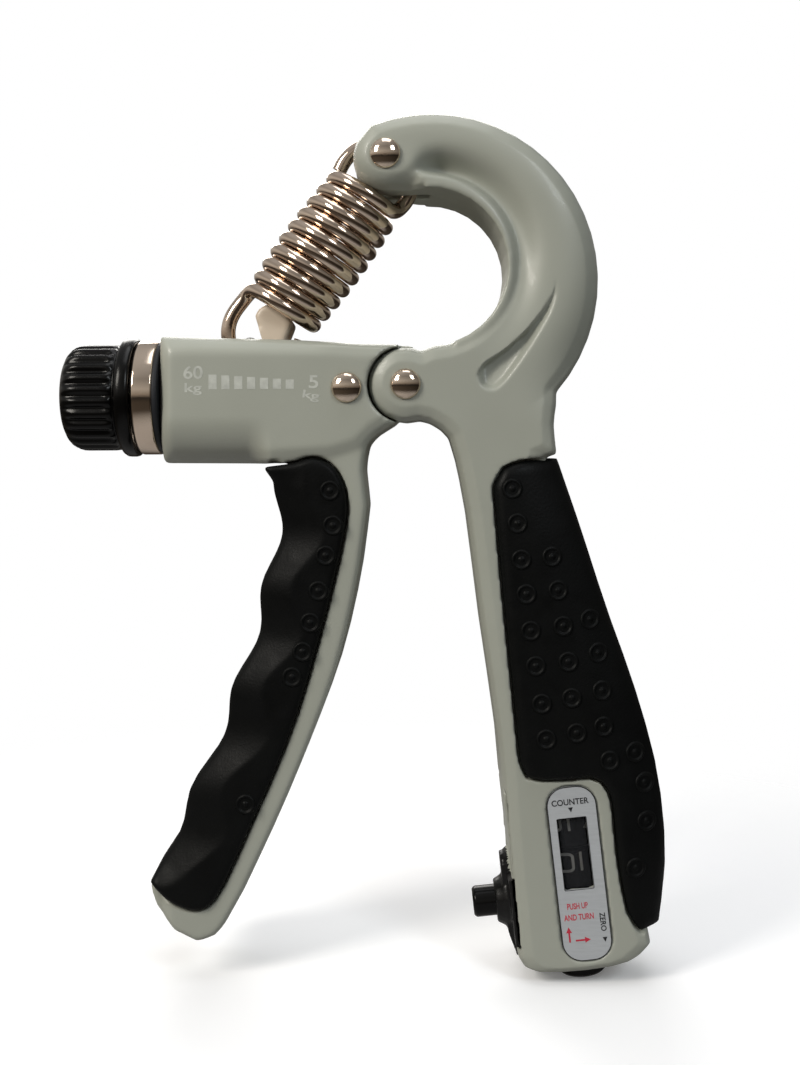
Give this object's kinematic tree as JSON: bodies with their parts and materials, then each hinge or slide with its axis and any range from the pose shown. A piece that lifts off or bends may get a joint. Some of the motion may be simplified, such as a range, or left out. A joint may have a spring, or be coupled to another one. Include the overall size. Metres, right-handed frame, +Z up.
{
  "type": "hand grip strengthener",
  "caption": "C-shaped main handle and hinged squeeze lever with ribbed rubber grips, tension spring set by a side knob on a sliding anchor, and a press counter in the handle's foot.",
  "frame": {"origin": "centre of the bounding box at the lowest point of the main handle's foot", "axes": "+Z up along the handle towards the hook, +X from the adjusting knob towards the palm side, -Y towards the printed front face; the squeeze pivot is parallel to Y"},
  "size_m": [0.1166, 0.0252, 0.1661],
  "materials": {
    "grey_plastic": "satin warm grey",
    "black_rubber": "matte",
    "chrome": "polished",
    "black_plastic": "glossy black",
    "dark_gasket": "matte dark grey",
    "steel": "plain",
    "white_plastic": "cream white, satin",
    "label_foil": "printed satin silver",
    "clear_plastic": "clear"
  },
  "bodies": {
    "handle": {"main_frame": "grey_plastic", "main_grip": "black_rubber", "hook_rivet": "chrome", "pivot_rivet": "chrome", "counter_housing": "black_plastic", "label_plate": "label_foil", "window_lens": "clear_plastic", "counter_axle": "steel", "pinion_shaft": "steel", "plunger_spring": "steel", "reset_spring": "steel"},
    "lever": {"lever_frame": "grey_plastic", "lever_grip": "black_rubber", "barrel_rivet": "chrome", "barrel_bush": "white_plastic", "seal_ring": "dark_gasket", "chrome_collar": "chrome"},
    "knob": {"adjust_knob": "black_plastic", "lead_screw": "steel"},
    "slide_block": {"slider": "white_plastic", "slider_pin": "steel"},
    "spring_foot": {"spring_lower_loop": "chrome"},
    "spring_a": {"spring_coil_1": "chrome"},
    "spring_b": {"spring_coil_2": "chrome"},
    "spring_c": {"spring_coil_3": "chrome"},
    "spring_d": {"spring_coil_4": "chrome"},
    "spring_head": {"spring_upper_loop": "chrome"},
    "push_button": {"plunger": "black_plastic", "drive_pawl": "steel"},
    "units": {"units_drum": "black_plastic"},
    "tens": {"tens_drum": "black_plastic"},
    "pinion": {"transfer_pinion": "white_plastic"},
    "reset_stem": {"reset_collar": "white_plastic"},
    "reset": {"reset_knob": "black_plastic"}
  },
  "joints": [
    {"name": "squeeze", "type": "hinge", "parent": "handle", "child": "lever", "pos_m": [0.00918, 0, 0.11427], "axis": [0, -1, 0], "range_deg": [0, 24], "stiffness_Nm_per_rad": 20, "springref_deg": -17.19},
    {"name": "knob_turn", "type": "hinge", "parent": "lever", "child": "knob", "pos_m": [-0.05083, 0, 0.11246], "axis": [1, 0, 0], "range_deg": [-1440, 1800]},
    {"name": "slider_travel", "type": "slide", "parent": "lever", "child": "slide_block", "axis": [-1, 0, 0], "range_m": [-0.0086, 0.0106]},
    {"name": "spring_swing", "type": "hinge", "parent": "slide_block", "child": "spring_foot", "pos_m": [-0.02113, 0, 0.12197], "axis": [0, -1, 0], "range_deg": [-17.5, 0.5], "deforming": ["spring_lower_loop"]},
    {"name": "spring_lean", "type": "hinge", "parent": "spring_foot", "child": "spring_a", "pos_m": [-0.02113, 0, 0.12197], "axis": [0, -1, 0], "range_deg": [-9, 7.5], "deforming": ["spring_coil_1"]},
    {"name": "stretch_b", "type": "slide", "parent": "spring_a", "child": "spring_b", "axis": [0.5968, 0, 0.8024], "range_m": [-0.0002, 0.0042], "deforming": ["spring_coil_2"]},
    {"name": "stretch_c", "type": "slide", "parent": "spring_b", "child": "spring_c", "axis": [0.5968, 0, 0.8024], "range_m": [-0.0002, 0.0042], "deforming": ["spring_coil_3"]},
    {"name": "stretch_d", "type": "slide", "parent": "spring_c", "child": "spring_d", "axis": [0.5968, 0, 0.8024], "range_m": [-0.0002, 0.0042], "deforming": ["spring_coil_4"]},
    {"name": "stretch_head", "type": "slide", "parent": "spring_d", "child": "spring_head", "axis": [0.5968, 0, 0.8024], "range_m": [-0.0045, 0.0056], "deforming": ["spring_upper_loop"]},
    {"name": "press", "type": "slide", "parent": "handle", "child": "push_button", "axis": [0.994, 0, 0.1097], "range_m": [0, 0.003], "stiffness_N_per_m": 150, "springref_m": -0.002, "deforming": ["plunger_spring"]},
    {"name": "units_spin", "type": "hinge", "parent": "handle", "child": "units", "pos_m": [0.04018, -0.0027, 0.0253], "axis": [-0.1097, 0, 0.994], "continuous": true},
    {"name": "tens_spin", "type": "hinge", "parent": "handle", "child": "tens", "pos_m": [0.04018, -0.0027, 0.0253], "axis": [-0.1097, 0, 0.994], "continuous": true},
    {"name": "pinion_spin", "type": "hinge", "parent": "handle", "child": "pinion", "pos_m": [0.04018, 0.0054, 0.0253], "axis": [-0.1097, 0, 0.994], "continuous": true},
    {"name": "reset_push", "type": "slide", "parent": "handle", "child": "reset_stem", "axis": [-0.1097, 0, 0.994], "range_m": [0, 0.001], "stiffness_N_per_m": 100, "springref_m": -0.002, "deforming": ["reset_spring"]},
    {"name": "reset_turn", "type": "hinge", "parent": "reset_stem", "child": "reset", "pos_m": [0.04018, -0.0027, 0.0253], "axis": [-0.1097, 0, 0.994], "continuous": true}
  ],
  "couplings": [
    {"joint": "slider_travel", "follows": "knob_turn", "m_per_rad": 0.0003183},
    {"joint": "spring_swing", "follows": "squeeze", "ratio": -0.67},
    {"joint": "spring_lean", "follows": "knob_turn", "ratio": -0.0045},
    {"joint": "stretch_b", "follows": "squeeze", "m_per_rad": 0.00923},
    {"joint": "stretch_c", "follows": "squeeze", "m_per_rad": 0.00923},
    {"joint": "stretch_d", "follows": "squeeze", "m_per_rad": 0.00923},
    {"joint": "stretch_head", "follows": "knob_turn", "m_per_rad": 0.00016},
    {"joint": "tens_spin", "follows": "units_spin", "ratio": 0.1},
    {"joint": "pinion_spin", "follows": "units_spin", "ratio": -0.25}
  ]
}
